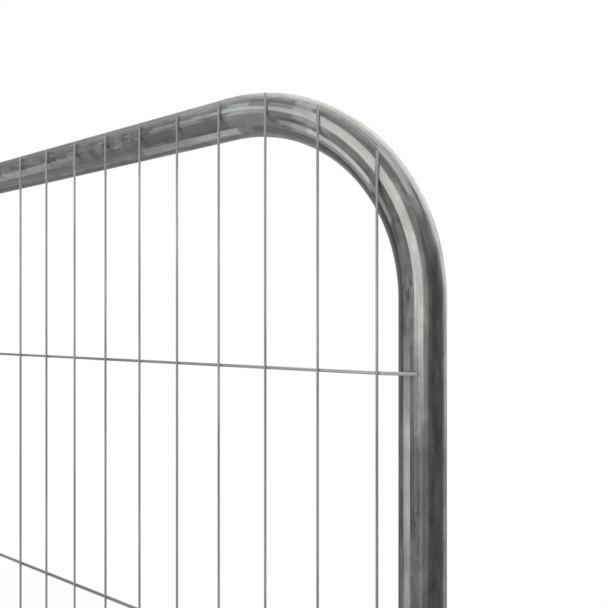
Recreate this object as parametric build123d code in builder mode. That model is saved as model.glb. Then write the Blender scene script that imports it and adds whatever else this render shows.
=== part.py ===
from build123d import *

import os
from math import asin, atan2, hypot, radians, sin, sqrt, tan

# Anti-climb mesh fence panel, in millimetres. X runs along the panel, Z is up, and the mesh lies on the -Y side
# of the tubes. The origin is midway between the two legs, at their lower ends, in the tubes' middle plane.

# Tube frame
PANEL_WIDTH = 3464.0  # over the outsides of both uprights
PANEL_HEIGHT = 2000.0  # leg ends to the top of the hoop
TUBE_OD = 38.0
TUBE_WALL = 1.5
BEND_RADIUS = 185.0  # of the top corners, at the tube's centre line
BOTTOM_RAIL_HEIGHT = 149.5  # leg ends to the bottom rail's centre line
LEG_END_BREAK = 0.4  # chamfer round the outside of the legs' cut ends
WELD_RADIUS = 5.0  # of the fillet welds over and under the bottom rail's ends
WELD_HALF_ANGLE = 55.0  # degrees each weld runs round the rail, either side of its top or bottom line

# Wire mesh
VERTICAL_WIRE_DIA = 2.3
HORIZONTAL_WIRE_DIA = 3.0
VERTICAL_WIRE_COUNT = 66
HORIZONTAL_WIRE_COUNT = 6
END_WIRE_INSET = 32.2  # upright's centre line to the nearest vertical wire
END_ROW_DROP = 244.9  # a rail's centre line to the nearest horizontal wire
TIP_OVERRUN = 9.0  # vertical wire tips past the tube's centre line
CRANK_OFFSET = 6.0  # last vertical wire to the bend in a horizontal wire's end
CRANK_RADIUS = 25.0  # of that bend
WIRE_END_ROUND = 0.6
LONE_END_WIRES = 3  # vertical wires at each end of the panel that have a node each
WIRES_PER_GROUP = 2  # vertical wires that share each other node

# Welded pieces lie this far apart, so that no two solids overlap
WELD_GAP = 0.05

# Places that follow from the sizes above
tube_radius = TUBE_OD / 2
tube_bore = tube_radius - TUBE_WALL
upright_x = PANEL_WIDTH / 2 - tube_radius
top_rail_z = PANEL_HEIGHT - tube_radius
vertical_wire_y = -(tube_radius + WELD_GAP + VERTICAL_WIRE_DIA / 2)
horizontal_wire_y = vertical_wire_y + VERTICAL_WIRE_DIA / 2 + WELD_GAP + HORIZONTAL_WIRE_DIA / 2
end_wire_x = upright_x - END_WIRE_INSET
wire_pitch = 2 * end_wire_x / (VERTICAL_WIRE_COUNT - 1)
row_pitch = (top_rail_z - BOTTOM_RAIL_HEIGHT - 2 * END_ROW_DROP) / (HORIZONTAL_WIRE_COUNT - 1)

os.makedirs("parts", exist_ok=True)


def save(piece, name):
    """Label a finished piece and write it to its own file."""
    piece.label = name
    export_step(piece, f"parts/{name}.step")


def wire_x(index):
    """Place of a vertical wire along the panel, counted from the left end wire."""
    return -end_wire_x + index * wire_pitch


def wire_top(x):
    """Height of a vertical wire's upper tip, which follows the hoop round its corners."""
    reach = max(0.0, abs(x) - (upright_x - BEND_RADIUS))
    return top_rail_z - BEND_RADIUS + sqrt((BEND_RADIUS + TIP_OVERRUN) ** 2 - reach**2)


# One bent tube makes both uprights with their legs, the two round corners and the top rail
with BuildPart() as frame_hoop:
    with BuildLine() as hoop_line:
        FilletPolyline(
            (-upright_x, 0, 0),
            (-upright_x, 0, top_rail_z),
            (upright_x, 0, top_rail_z),
            (upright_x, 0, 0),
            radius=BEND_RADIUS,
        )
    with BuildSketch(Plane(origin=(-upright_x, 0, 0))):
        Circle(tube_radius)
        Circle(tube_bore, mode=Mode.SUBTRACT)
    sweep(path=hoop_line.wires()[0])
    cut_edges = frame_hoop.edges().group_by(Axis.Z)[0]
    chamfer(cut_edges.group_by(SortBy.RADIUS)[-1], length=LEG_END_BREAK)
save(frame_hoop.part, "frame_hoop")

# The bottom rail is notched at both ends to sit against the round uprights
with BuildPart() as bottom_rail:
    with BuildSketch(Plane(origin=(-upright_x, 0, BOTTOM_RAIL_HEIGHT), z_dir=(1, 0, 0))):
        Circle(tube_radius)
        Circle(tube_bore, mode=Mode.SUBTRACT)
    extrude(amount=2 * upright_x)
    with Locations((-upright_x, 0, BOTTOM_RAIL_HEIGHT), (upright_x, 0, BOTTOM_RAIL_HEIGHT)):
        Cylinder(tube_radius + WELD_GAP, 2 * TUBE_OD, mode=Mode.SUBTRACT)
save(bottom_rail.part, "bottom_rail")

# Fillet welds run over and under each end of the bottom rail, in the corner between rail and upright
weld_half_span = tube_radius * sin(radians(WELD_HALF_ANGLE))
stub = 2 * TUBE_OD
for side, inward in (("left", 1), ("right", -1)):
    upright_at = Pos(-inward * upright_x, 0, BOTTOM_RAIL_HEIGHT)
    rail_at = Pos(-inward * (upright_x - stub / 2), 0, BOTTOM_RAIL_HEIGHT)
    with BuildPart() as rail_weld:
        with Locations(upright_at):
            Cylinder(tube_radius + WELD_GAP, stub)
        with Locations(rail_at):
            Cylinder(tube_radius - WELD_GAP, stub, rotation=(0, 90, 0))
        corner = rail_weld.edges().filter_by(GeomType.BSPLINE)
        fillet(corner, radius=WELD_RADIUS)
        with Locations(upright_at):
            Cylinder(tube_radius + WELD_GAP, 2 * stub, mode=Mode.SUBTRACT)
        with Locations(rail_at):
            Cylinder(tube_radius + WELD_GAP, 2 * stub, rotation=(0, 90, 0), mode=Mode.SUBTRACT)
        with Locations(upright_at):
            Box(2 * stub, 2 * weld_half_span, 2 * stub, mode=Mode.INTERSECT)
    save(rail_weld.part, f"bottom_rail_weld_{side}")

# Each horizontal wire passes behind the vertical wires, then its ends are cranked forward to rest on the fronts
# of the uprights: the end run is a tangent from the crank to a circle one wire radius outside the tube
crank_x = end_wire_x + CRANK_OFFSET
crank_inset = upright_x - crank_x
seat_radius = tube_radius + WELD_GAP + HORIZONTAL_WIRE_DIA / 2
crank_angle = asin(seat_radius / hypot(crank_inset, horizontal_wire_y)) - atan2(-horizontal_wire_y, crank_inset)
wire_end_y = horizontal_wire_y - crank_inset * tan(crank_angle)

for row in range(HORIZONTAL_WIRE_COUNT):
    row_z = top_rail_z - END_ROW_DROP - row * row_pitch
    with BuildPart() as horizontal_wire:
        with BuildLine(Plane.XY.offset(row_z)) as wire_line:
            FilletPolyline(
                (-upright_x, wire_end_y),
                (-crank_x, horizontal_wire_y),
                (crank_x, horizontal_wire_y),
                (upright_x, wire_end_y),
                radius=CRANK_RADIUS,
            )
        run = wire_line.wires()[0]
        with BuildSketch(Plane(origin=run @ 0, z_dir=run % 0)):
            Circle(HORIZONTAL_WIRE_DIA / 2)
        sweep(path=run)
        ends = horizontal_wire.faces().filter_by(GeomType.PLANE).edges()
        fillet(ends, radius=WIRE_END_ROUND)
    save(horizontal_wire.part, f"horizontal_wire_{row + 1}")

# Vertical wires share nodes in small groups, but each wire near an end of the panel has its own
last_group = VERTICAL_WIRE_COUNT - LONE_END_WIRES
starts = [
    *range(LONE_END_WIRES),
    *range(LONE_END_WIRES, last_group, WIRES_PER_GROUP),
    *range(last_group, VERTICAL_WIRE_COUNT),
]
wire_foot = BOTTOM_RAIL_HEIGHT - TIP_OVERRUN
for start, stop in zip(starts, [*starts[1:], VERTICAL_WIRE_COUNT]):
    with BuildPart() as vertical_wires:
        for index in range(start, stop):
            x = wire_x(index)
            with BuildSketch(Plane.XY.offset(wire_foot)):
                with Locations((x, vertical_wire_y)):
                    Circle(VERTICAL_WIRE_DIA / 2)
            extrude(amount=wire_top(x) - wire_foot)
        fillet(vertical_wires.edges().filter_by(GeomType.CIRCLE), radius=WIRE_END_ROUND)
    numbers = "_".join(f"{index + 1:02d}" for index in range(start, stop))
    save(vertical_wires.part, f"vertical_wire_{numbers}")
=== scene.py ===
"""Dresses the anti-climb mesh fence panel: zinc finishes, smooth tubes and wires, welds, studio light."""
import logging
import math
import random
from dataclasses import dataclass, field, replace
from enum import Enum
from typing import Any, Callable, Iterable, Optional, Sequence, Union

import bpy
import numpy as np
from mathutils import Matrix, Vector


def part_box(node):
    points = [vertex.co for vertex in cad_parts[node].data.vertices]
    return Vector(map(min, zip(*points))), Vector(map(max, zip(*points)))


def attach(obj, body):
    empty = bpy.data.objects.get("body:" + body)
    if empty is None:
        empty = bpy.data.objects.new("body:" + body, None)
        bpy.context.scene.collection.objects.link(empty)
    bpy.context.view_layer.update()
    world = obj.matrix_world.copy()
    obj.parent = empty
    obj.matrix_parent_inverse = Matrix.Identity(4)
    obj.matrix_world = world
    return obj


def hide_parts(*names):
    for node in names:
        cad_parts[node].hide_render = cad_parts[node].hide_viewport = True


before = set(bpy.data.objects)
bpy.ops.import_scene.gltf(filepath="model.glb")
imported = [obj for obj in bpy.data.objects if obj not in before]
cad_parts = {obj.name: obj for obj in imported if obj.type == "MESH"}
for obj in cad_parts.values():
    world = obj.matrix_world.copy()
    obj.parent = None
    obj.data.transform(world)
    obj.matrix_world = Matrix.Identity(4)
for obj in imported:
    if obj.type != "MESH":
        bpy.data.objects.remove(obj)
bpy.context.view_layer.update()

log = logging.getLogger("fence_panel")

BODY = "root"
UP = Vector((0.0, 0.0, 1.0))
FRONT = Vector((0.0, -1.0, 0.0))  # the mesh side
PLACE = "straight_place"  # along, outward and front place on a straightened bar, in metres
TONE = "tone_share"  # on tubes how streaky the zinc is, on wires how much painted shade they carry
BAKE_MAP = "OFBake"  # the layout that the baked finish uses
SHARP_ANGLE = math.radians(40.0)  # an edge that turns further than this stays sharp
END_RINGS = 4  # rings that round the edge of a wire's cut end
DISPLAY_GAMMA = 2.2

Colour = tuple[float, float, float, float]
Triple = tuple[float, float, float]
Span = tuple[float, float]
Face = tuple[int, ...]
Socket = bpy.types.NodeSocket
Number = Union[float, "Signal"]
Feed = Union[float, Sequence[float], "Signal", Socket]
Key = Union[str, int]
Settings = dict[str, Any]
Inputs = dict[Key, Feed]

BLACK: Colour = (0.0, 0.0, 0.0, 1.0)
WHITE: Colour = (1.0, 1.0, 1.0, 1.0)


class Slot(str, Enum):
    """The record's material slots."""

    TUBE = "galvanised_tube"
    WIRE = "galvanised_wire"
    WELD = "zinc_painted_weld"


class Side(Enum):
    """The panel's two ends, by the sign of X."""

    LEFT = -1
    RIGHT = 1


def math_operator(operation: str, reflected: bool = False) -> Callable[["Signal", Number], "Signal"]:
    """Make an operator that adds a Math node.

    Args:
        operation: The Math node's operation.
        reflected: True where the signal stands second.

    Returns:
        The operator's method.
    """
    def method(self: "Signal", other: Number) -> "Signal":
        """Return the outcome of the operation."""
        return self.bench.maths(operation, *((other, self) if reflected else (self, other)))
    return method


class Signal:
    """A number that varies over a surface. Its operators add Math nodes."""

    __add__ = math_operator("ADD")
    __radd__ = math_operator("ADD", reflected=True)
    __sub__ = math_operator("SUBTRACT")
    __rsub__ = math_operator("SUBTRACT", reflected=True)
    __mul__ = math_operator("MULTIPLY")
    __rmul__ = math_operator("MULTIPLY", reflected=True)
    __truediv__ = math_operator("DIVIDE")
    __rtruediv__ = math_operator("DIVIDE", reflected=True)
    __pow__ = math_operator("POWER")
    __rpow__ = math_operator("POWER", reflected=True)

    def __init__(self, bench: "ShaderBench", socket: Socket) -> None:
        """Keep the bench that adds nodes, and the socket that carries the number."""
        self.bench = bench
        self.socket = socket

    def towards(self, goal: Number, share: Number) -> "Signal":
        """Return this number moved by a share of the way to a goal."""
        return self + (goal - self) * share

    def swing(self, size: Number) -> "Signal":
        """Return a pattern that runs from 0 to 1 as a swing of a given size about 0."""
        return (self - 0.5) * size

    def rise(self, low: float, high: float) -> "Signal":
        """Return a smooth step.

        Args:
            low: Where the step starts.
            high: Where it ends; below low for a step down.

        Returns:
            A number that goes from 0 to 1.
        """
        ends = {"Value": self, "From Min": low, "From Max": high}
        return self.bench.signal("ShaderNodeMapRange", {"interpolation_type": "SMOOTHSTEP"}, ends)


class ShaderBench:
    """Adds nodes to one node tree."""

    def __init__(self, tree: bpy.types.NodeTree) -> None:
        """Start from an empty tree."""
        self.tree = tree
        tree.nodes.clear()

    def node(self, kind: str, settings: Settings, inputs: Inputs) -> bpy.types.Node:
        """Add one node.

        Args:
            kind: The node's type.
            settings: The node's own properties, which are set first.
            inputs: Values or links for its sockets, by name or number.

        Returns:
            The node.
        """
        made = self.tree.nodes.new(kind)
        for name, value in settings.items():
            setattr(made, name, value)
        for key, value in inputs.items():
            if isinstance(value, Signal):
                value = value.socket
            if isinstance(value, Socket):
                self.tree.links.new(value, made.inputs[key])
            else:
                made.inputs[key].default_value = value
        return made

    def signal(self, kind: str, settings: Settings, inputs: Inputs, output: Key = 0) -> Signal:
        """Add a node and wrap one of its outputs as a number to count with."""
        return Signal(self, self.node(kind, settings, inputs).outputs[output])

    def maths(self, operation: str, first: Number, second: Number) -> Signal:
        """Add a Math node on two terms."""
        return self.signal("ShaderNodeMath", {"operation": operation}, {0: first, 1: second})

    def vector_maths(self, operation: str, inputs: Inputs, output: Key = 0) -> Socket:
        """Add a Vector Math node and return one of its outputs."""
        return self.node("ShaderNodeVectorMath", {"operation": operation}, inputs).outputs[output]

    def attribute(self, name: str, output: str) -> Socket:
        """Return what a mesh attribute holds at each point."""
        return self.node("ShaderNodeAttribute", {"attribute_name": name}, {}).outputs[output]

    def object_place(self) -> Socket:
        """Return the place on the panel or the floor, in metres."""
        return self.node("ShaderNodeTexCoord", {}, {}).outputs["Object"]

    def split(self, vector: Socket) -> tuple[Signal, Signal, Signal]:
        """Return a vector's three parts."""
        parts = self.node("ShaderNodeSeparateXYZ", {}, {0: vector}).outputs
        return Signal(self, parts[0]), Signal(self, parts[1]), Signal(self, parts[2])

    def scaled(self, vector: Socket, cell: Triple, shift: float = 0.0) -> Socket:
        """Measure a place in cells of a given size.

        Args:
            vector: The place, in metres.
            cell: The cell's size along, outward and to the front, in metres.
            shift: Moves the pattern, in cells.

        Returns:
            The place in cells.
        """
        per_metre = tuple(1.0 / size for size in cell)
        return self.vector_maths("MULTIPLY_ADD", {0: vector, 1: per_metre, 2: (shift, shift, shift)})

    def blocks(self, vector: Socket, cell: Triple, softness: float,
               shift: float = 0.0) -> tuple[Signal, Signal, Signal]:
        """Scatter blocky patches, each with three tones of its own.

        Args:
            vector: The place, in metres.
            cell: A patch's usual size, in metres.
            softness: How far neighbouring patches blend, from 0 to 1.
            shift: Moves the pattern, in cells.

        Returns:
            Three unrelated tones from 0 to 1.
        """
        settings = {"feature": "SMOOTH_F1", "distance": "CHEBYCHEV"}
        inputs = {"Vector": self.scaled(vector, cell, shift), "Scale": 1.0, "Smoothness": softness}
        return self.split(self.node("ShaderNodeTexVoronoi", settings, inputs).outputs["Color"])

    def tiles(self, along: Signal, turn: Signal, size: Span, shift: float = 0.0) -> Signal:
        """Lay straight-edged tiles round a tube, each with a tone of its own.

        Args:
            along: Distance along the tube, in metres.
            turn: Angle round it, in radians.
            size: A tile's length in metres and its width in radians.
            shift: Moves the pattern, in tiles.

        Returns:
            A tone from 0 to 1.
        """
        cells = {0: along / size[0] + shift, 1: turn / size[1] + shift}
        settings = {"offset": 0.37, "squash": 0.6, "squash_frequency": 3}
        inputs = {"Vector": self.node("ShaderNodeCombineXYZ", {}, cells).outputs[0],
                  "Color1": BLACK, "Color2": WHITE,
                  "Scale": 1.0, "Mortar Size": 0.0, "Brick Width": 1.0, "Row Height": 1.0}
        return self.signal("ShaderNodeTexBrick", settings, inputs, "Color")

    def clouds(self, vector: Socket, cell: Triple, detail: float = 2.0, shift: float = 0.0) -> Signal:
        """Return soft noise of a given grain size, from 0 to 1."""
        inputs = {"Vector": self.scaled(vector, cell, shift), "Scale": 1.0, "Detail": detail}
        return self.signal("ShaderNodeTexNoise", {}, inputs, "Fac")

    def blend(self, share: Number, first: Feed, second: Feed) -> Socket:
        """Return a mix of two colours, which are the Mix node's sockets 6 and 7."""
        sockets = {0: share, 6: first, 7: second}
        return self.node("ShaderNodeMix", {"data_type": "RGBA"}, sockets).outputs[2]

    def toned(self, lightness: Signal, tint: Socket) -> Socket:
        """Return a near-white tint as light as it should look on a display, from 0 black to 1 white."""
        return self.vector_maths("SCALE", {0: tint, "Scale": lightness ** DISPLAY_GAMMA})

    def bump(self, height: Signal, depth: float, strength: float) -> Socket:
        """Return a normal tilted by a height.

        Args:
            height: From 0 to 1.
            depth: How deep that is, in metres.
            strength: How much of it shows.

        Returns:
            The normal.
        """
        inputs = {"Height": height, "Distance": depth, "Strength": strength}
        return self.node("ShaderNodeBump", {}, inputs).outputs["Normal"]

    def principled(self, inputs: Inputs) -> None:
        """Add the main shader and show it."""
        shader = self.node("ShaderNodeBsdfPrincipled", {}, inputs)
        self.node("ShaderNodeOutputMaterial", {}, {"Surface": shader.outputs[0]})


def new_material(name: str) -> tuple[bpy.types.Material, ShaderBench]:
    """Make an empty material.

    Args:
        name: The material's name.

    Returns:
        The material and the bench that fills it.
    """
    material = bpy.data.materials.new(name)
    material.use_nodes = True
    return material, ShaderBench(material.node_tree)


@dataclass(frozen=True)
class TubePlace:
    """Where a point lies on the straightened tube."""

    vector: Socket  # along, outward and to the front, in metres
    along: Signal  # metres past the start of the right-hand bend, negative along the top rail
    outward: Signal  # cosine of the angle round the tube
    front: Signal  # sine of that angle
    bent: Signal  # 0 on the rails, 1 on the bends and uprights

    @classmethod
    def read(cls, bench: ShaderBench, radius: float) -> "TubePlace":
        """Read the place from the mesh.

        Args:
            bench: Where nodes are added.
            radius: The tube's radius.

        Returns:
            The place.
        """
        vector = bench.attribute(PLACE, "Vector")
        along, outward, front = bench.split(vector)
        bent = Signal(bench, bench.attribute(TONE, "Fac"))
        return cls(vector, along, outward / radius, front / radius, bent)


@dataclass(frozen=True)
class PaintedLightAndSeamBand:
    """One lengthwise band painted on the tube, placed on the straightened tube: most are painted
    reflections, painted highlights and painted shade, and one is the tubes' rolled seam.

    Angles go round the tube in degrees: 0 faces out of the frame and 90 faces the mesh side. Distances
    are in metres past the start of the right-hand bend, negative along the top rail.
    """

    angle: float
    half_width: float
    start: float
    end: float
    lightness: float
    fade: float = 0.012
    tail: Optional[float] = None  # fade at the end, where it isn't the same
    edge: float = 1.5

    def mask(self, at: TubePlace) -> Signal:
        """Return 1 on the streak and 0 off it.

        Args:
            at: The place on the tube.

        Returns:
            The mask.
        """
        turn = math.radians(self.angle)
        facing = at.outward * math.cos(turn) + at.front * math.sin(turn)
        outer = math.cos(math.radians(self.half_width + self.edge))
        inner = math.cos(math.radians(max(0.0, self.half_width - self.edge)))
        tail = self.fade if self.tail is None else self.tail
        begun = at.along.rise(self.start - self.fade, self.start + self.fade)
        left = at.along.rise(self.end + tail, self.end - tail)
        return facing.rise(outer, inner) * begun * left


# Bands painted into the tube's colour: painted reflections, painted highlights and painted shade, with the
# real rolled seam last
TUBE_PAINTED_LIGHT_AND_SEAM = (
    # Top rail: painted shade along its top and underside, with a few light patches of painted reflection
    PaintedLightAndSeamBand(48.0, 16.0, -2.200, -0.060, 0.26, fade=0.050),
    PaintedLightAndSeamBand(72.0, 9.0, -2.200, -0.230, 0.37, fade=0.040),
    PaintedLightAndSeamBand(186.0, 16.0, -2.200, -0.110, 0.30, fade=0.050),
    PaintedLightAndSeamBand(150.0, 12.0, -0.450, -0.120, 0.45, fade=0.030),
    PaintedLightAndSeamBand(123.0, 12.0, -0.420, -0.240, 0.57, fade=0.060),
    PaintedLightAndSeamBand(156.0, 13.0, -0.112, 0.016, 0.56, fade=0.006, tail=0.003),
    PaintedLightAndSeamBand(153.0, 9.0, -0.042, 0.014, 0.67, fade=0.010, tail=0.003),
    PaintedLightAndSeamBand(70.0, 9.0, -0.200, -0.065, 0.445, fade=0.030),
    PaintedLightAndSeamBand(123.0, 15.0, -0.125, -0.002, 0.395, fade=0.012, tail=0.006),
    PaintedLightAndSeamBand(121.0, 15.0, -0.092, -0.064, 0.355, fade=0.010),
    PaintedLightAndSeamBand(69.0, 8.0, -0.060, 0.033, 0.49, fade=0.015, tail=0.004),
    PaintedLightAndSeamBand(125.0, 19.0, 0.004, 0.060, 0.48, fade=0.010),
    PaintedLightAndSeamBand(146.0, 12.0, 0.014, 0.031, 0.49, fade=0.003),
    # Painted reflection: a light band along the middle of the right-hand bend, with its faint start on the
    # rail
    PaintedLightAndSeamBand(94.0, 4.5, -0.085, 0.000, 0.54, fade=0.020),
    PaintedLightAndSeamBand(94.0, 5.0, -0.010, 0.115, 0.68, fade=0.020),
    PaintedLightAndSeamBand(84.0, 5.5, 0.006, 0.115, 0.62),
    PaintedLightAndSeamBand(84.5, 5.5, 0.031, 0.077, 0.50, fade=0.003),
    PaintedLightAndSeamBand(94.5, 4.0, 0.031, 0.077, 0.65, fade=0.003),
    PaintedLightAndSeamBand(104.0, 4.5, 0.006, 0.115, 0.55, fade=0.008),
    PaintedLightAndSeamBand(104.5, 4.5, 0.008, 0.029, 0.59, fade=0.003),
    PaintedLightAndSeamBand(105.0, 4.5, 0.053, 0.080, 0.43, fade=0.003),
    PaintedLightAndSeamBand(89.0, 10.4, 0.100, 0.391, 0.69, fade=0.008, tail=0.003),
    PaintedLightAndSeamBand(89.0, 10.4, 0.348, 0.396, 0.55, fade=0.035, tail=0.003),
    PaintedLightAndSeamBand(95.5, 5.5, 0.330, 0.396, 0.465, fade=0.070, tail=0.003),
    PaintedLightAndSeamBand(76.5, 7.5, 0.392, 0.900, 0.37),
    PaintedLightAndSeamBand(84.0, 4.0, 0.396, 0.900, 0.46, fade=0.004),
    PaintedLightAndSeamBand(72.5, 4.5, 0.225, 0.392, 0.445, fade=0.020),
    # Painted reflections: light bands nearer the inside of the bend
    PaintedLightAndSeamBand(125.0, 5.7, 0.065, 0.225, 0.56, fade=0.004),
    PaintedLightAndSeamBand(126.0, 5.7, 0.081, 0.105, 0.63, fade=0.002),
    PaintedLightAndSeamBand(125.0, 5.7, 0.100, 0.182, 0.76, fade=0.004),
    PaintedLightAndSeamBand(135.0, 4.5, 0.080, 0.190, 0.57, fade=0.004),
    PaintedLightAndSeamBand(120.0, 10.0, 0.325, 0.385, 0.54, fade=0.020),
    PaintedLightAndSeamBand(125.0, 5.5, 0.352, 0.390, 0.63, fade=0.012),
    PaintedLightAndSeamBand(120.0, 10.0, 0.380, 0.490, 0.68, fade=0.020),
    PaintedLightAndSeamBand(120.0, 10.0, 0.490, 0.900, 0.60, fade=0.020),
    # Painted shade: dark bands beside them
    PaintedLightAndSeamBand(153.0, 10.0, 0.032, 0.110, 0.39, fade=0.006),
    PaintedLightAndSeamBand(151.0, 11.0, 0.112, 0.195, 0.29, fade=0.006),
    PaintedLightAndSeamBand(140.0, 8.0, 0.195, 0.330, 0.23, fade=0.010),
    PaintedLightAndSeamBand(141.0, 9.0, 0.330, 0.900, 0.28, fade=0.020),
    PaintedLightAndSeamBand(137.5, 4.5, 0.392, 0.442, 0.39, fade=0.006),
    PaintedLightAndSeamBand(137.5, 4.5, 0.484, 0.900, 0.38, fade=0.010),
    PaintedLightAndSeamBand(160.0, 12.0, 0.200, 0.360, 0.22, fade=0.020),
    PaintedLightAndSeamBand(161.0, 13.0, 0.350, 0.900, 0.12, fade=0.020),
    PaintedLightAndSeamBand(104.5, 5.5, 0.385, 0.475, 0.33, fade=0.015),
    PaintedLightAndSeamBand(73.0, 5.0, 0.035, 0.078, 0.40, fade=0.004),
    PaintedLightAndSeamBand(69.0, 9.0, 0.079, 0.098, 0.55, fade=0.003),
    PaintedLightAndSeamBand(105.0, 4.0, 0.125, 0.185, 0.40, fade=0.010),
    PaintedLightAndSeamBand(115.0, 4.0, 0.112, 0.160, 0.45, fade=0.008),
    PaintedLightAndSeamBand(73.0, 5.5, 0.102, 0.195, 0.40, fade=0.006),
    # Outside of the bend: painted highlight above and painted shade down the upright
    PaintedLightAndSeamBand(20.0, 16.0, 0.075, 0.226, 0.73, fade=0.040),
    PaintedLightAndSeamBand(46.0, 10.0, 0.060, 0.204, 0.58, fade=0.020, tail=0.008),
    PaintedLightAndSeamBand(41.0, 9.0, 0.016, 0.064, 0.56, fade=0.012),
    PaintedLightAndSeamBand(39.0, 7.5, 0.064, 0.108, 0.65, fade=0.014),
    PaintedLightAndSeamBand(24.5, 5.0, 0.225, 0.272, 0.56, fade=0.014),
    PaintedLightAndSeamBand(54.0, 5.5, 0.099, 0.163, 0.485, fade=0.004),
    PaintedLightAndSeamBand(64.0, 5.0, 0.030, 0.074, 0.465, fade=0.004),
    PaintedLightAndSeamBand(64.0, 4.5, 0.077, 0.099, 0.59, fade=0.003),
    PaintedLightAndSeamBand(64.0, 5.0, 0.100, 0.165, 0.47, fade=0.004, tail=0.020),
    PaintedLightAndSeamBand(52.0, 6.0, 0.165, 0.212, 0.63, fade=0.004),
    PaintedLightAndSeamBand(6.0, 13.0, 0.250, 0.400, 0.59, fade=0.030),
    PaintedLightAndSeamBand(-6.0, 11.0, 0.370, 0.900, 0.16, fade=0.030),
    PaintedLightAndSeamBand(47.0, 12.5, 0.222, 0.285, 0.38, fade=0.015),
    PaintedLightAndSeamBand(43.0, 16.5, 0.262, 0.900, 0.24, fade=0.020),
    PaintedLightAndSeamBand(63.5, 4.5, 0.240, 0.395, 0.305, fade=0.015),
    PaintedLightAndSeamBand(63.5, 4.5, 0.395, 0.900, 0.265, fade=0.008),
    # The tubes' own rolled seam, at the back
    PaintedLightAndSeamBand(285.0, 1.2, -20.000, 40.000, 0.34, edge=0.6),
)


@dataclass(frozen=True)
class JointPaint:
    """Grey zinc paint sprayed over the scorched tube where the bottom rail is welded to the uprights."""

    joint: Triple  # the right-hand joint's middle; the left-hand one mirrors it
    reach: float = 0.046
    ragged: float = 0.034
    edge: float = 0.005
    speck: Triple = (0.007, 0.007, 0.007)
    lightness: float = 0.545
    cover: float = 0.85
    roughness: float = 0.66
    metal_loss: float = 0.35
    line_loss: float = 0.06  # drawn lines show less through it
    grain_gain: float = 0.09  # and its own grain shows more

    def mask(self, bench: ShaderBench, place: Socket) -> Signal:
        """Return 1 under the paint and 0 beyond it.

        Args:
            bench: Where nodes are added.
            place: The place on the panel, in metres.

        Returns:
            The mask.
        """
        folded = bench.vector_maths("ABSOLUTE", {0: place})
        away = Signal(bench, bench.vector_maths("DISTANCE", {0: folded, 1: self.joint}, "Value"))
        uneven = away + bench.clouds(place, self.speck, detail=4.0).swing(self.ragged)
        return uneven.rise(self.reach + self.edge, self.reach - self.edge)


@dataclass(frozen=True)
class LegScuffs:
    """Scratches and dirt that the legs pick up in their feet."""

    reach: float = 0.110
    full_share: float = 0.3  # share of the reach where they show in full
    scratch: Triple = (0.0011, 0.0011, 0.030)
    scratch_range: Span = (0.56, 0.66)
    scratch_lightness: float = 0.20
    dirt: Triple = (0.012, 0.012, 0.022)
    dirt_range: Span = (0.42, 0.62)
    dirt_darkness: float = 0.13

    def shade(self, bench: ShaderBench, place: Socket) -> tuple[Signal, Signal]:
        """Return how much the scuffs lighten or darken the zinc, and how strongly they show.

        Args:
            bench: Where nodes are added.
            place: The place on the panel, in metres.

        Returns:
            The change in lightness, and the share from 0 to 1.
        """
        _, _, height = bench.split(place)
        share = height.rise(self.reach, self.full_share * self.reach)
        scratches = bench.clouds(place, self.scratch).rise(*self.scratch_range)
        dirt = bench.clouds(place, self.dirt, detail=4.0).rise(*self.dirt_range)
        return share * (scratches * self.scratch_lightness - dirt * self.dirt_darkness), share


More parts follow.
